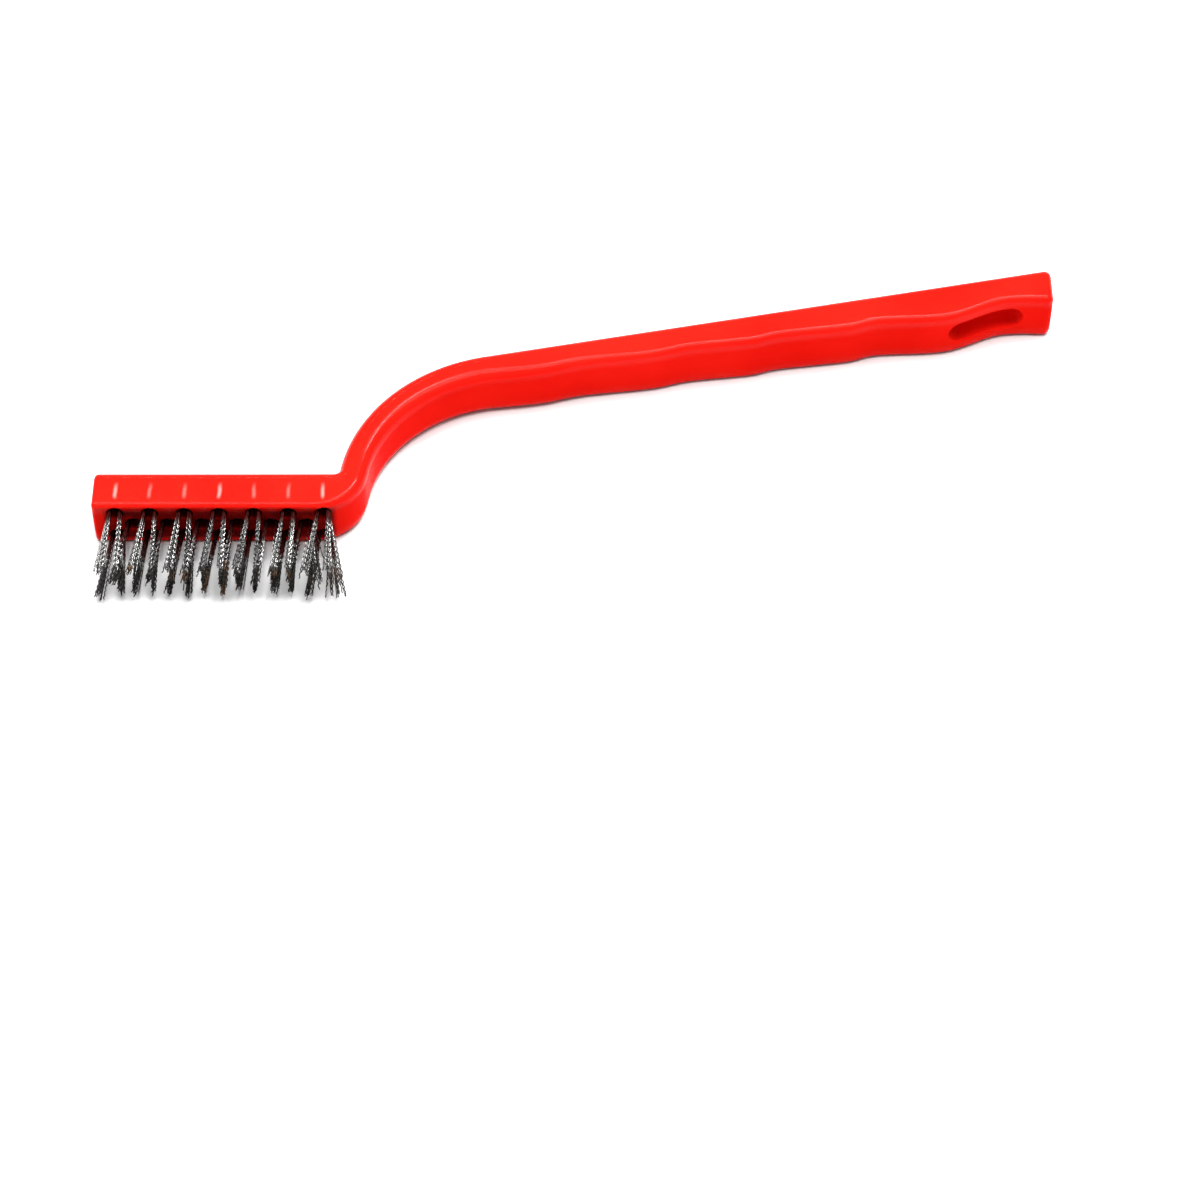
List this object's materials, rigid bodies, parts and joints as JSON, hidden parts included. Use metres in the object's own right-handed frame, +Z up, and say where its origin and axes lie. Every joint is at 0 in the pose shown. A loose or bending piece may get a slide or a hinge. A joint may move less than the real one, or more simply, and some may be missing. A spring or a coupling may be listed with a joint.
{
  "type": "wire brush",
  "caption": "Small hand brush: rows of crimped steel wire tufts in a bent, ribbed red plastic handle with a hanging slot, for cleaning welds and metal.",
  "frame": {"origin": "on the surface that the brush lies on, under the middle of its bounding box", "axes": "+X along the brush from its toe to the handle's end, +Y from the wire tips to its back, +Z up, across its width: it lies on its right side"},
  "size_m": [0.169, 0.0708, 0.0098],
  "materials": {
    "red_plastic": "moulded polypropylene, glossy, with faint stress whitening beside the anchors, darkened between the tufts",
    "crimped_wire": "crimped spring steel wire of 0.2 mm, bright along its length and dark at the cut tips",
    "anchor_strip": "flat steel strip, cropped at both ends"
  },
  "bodies": {
    "root": {"anchor_left_1": "anchor_strip", "anchor_left_2": "anchor_strip", "anchor_left_3": "anchor_strip", "anchor_left_4": "anchor_strip", "anchor_left_5": "anchor_strip", "anchor_left_6": "anchor_strip", "anchor_left_7": "anchor_strip", "anchor_middle_1": "anchor_strip", "anchor_middle_2": "anchor_strip", "anchor_middle_3": "anchor_strip", "anchor_middle_4": "anchor_strip", "anchor_middle_5": "anchor_strip", "anchor_middle_6": "anchor_strip", "anchor_right_1": "anchor_strip", "anchor_right_2": "anchor_strip", "anchor_right_3": "anchor_strip", "anchor_right_4": "anchor_strip", "anchor_right_5": "anchor_strip", "anchor_right_6": "anchor_strip", "anchor_right_7": "anchor_strip", "handle": "red_plastic", "tuft_left_1": "crimped_wire", "tuft_left_2": "crimped_wire", "tuft_left_3": "crimped_wire", "tuft_left_4": "crimped_wire", "tuft_left_5": "crimped_wire", "tuft_left_6": "crimped_wire", "tuft_left_7": "crimped_wire", "tuft_middle_1": "crimped_wire", "tuft_middle_2": "crimped_wire", "tuft_middle_3": "crimped_wire", "tuft_middle_4": "crimped_wire", "tuft_middle_5": "crimped_wire", "tuft_middle_6": "crimped_wire", "tuft_right_1": "crimped_wire", "tuft_right_2": "crimped_wire", "tuft_right_3": "crimped_wire", "tuft_right_4": "crimped_wire", "tuft_right_5": "crimped_wire", "tuft_right_6": "crimped_wire", "tuft_right_7": "crimped_wire"}
  },
  "joints": []
}
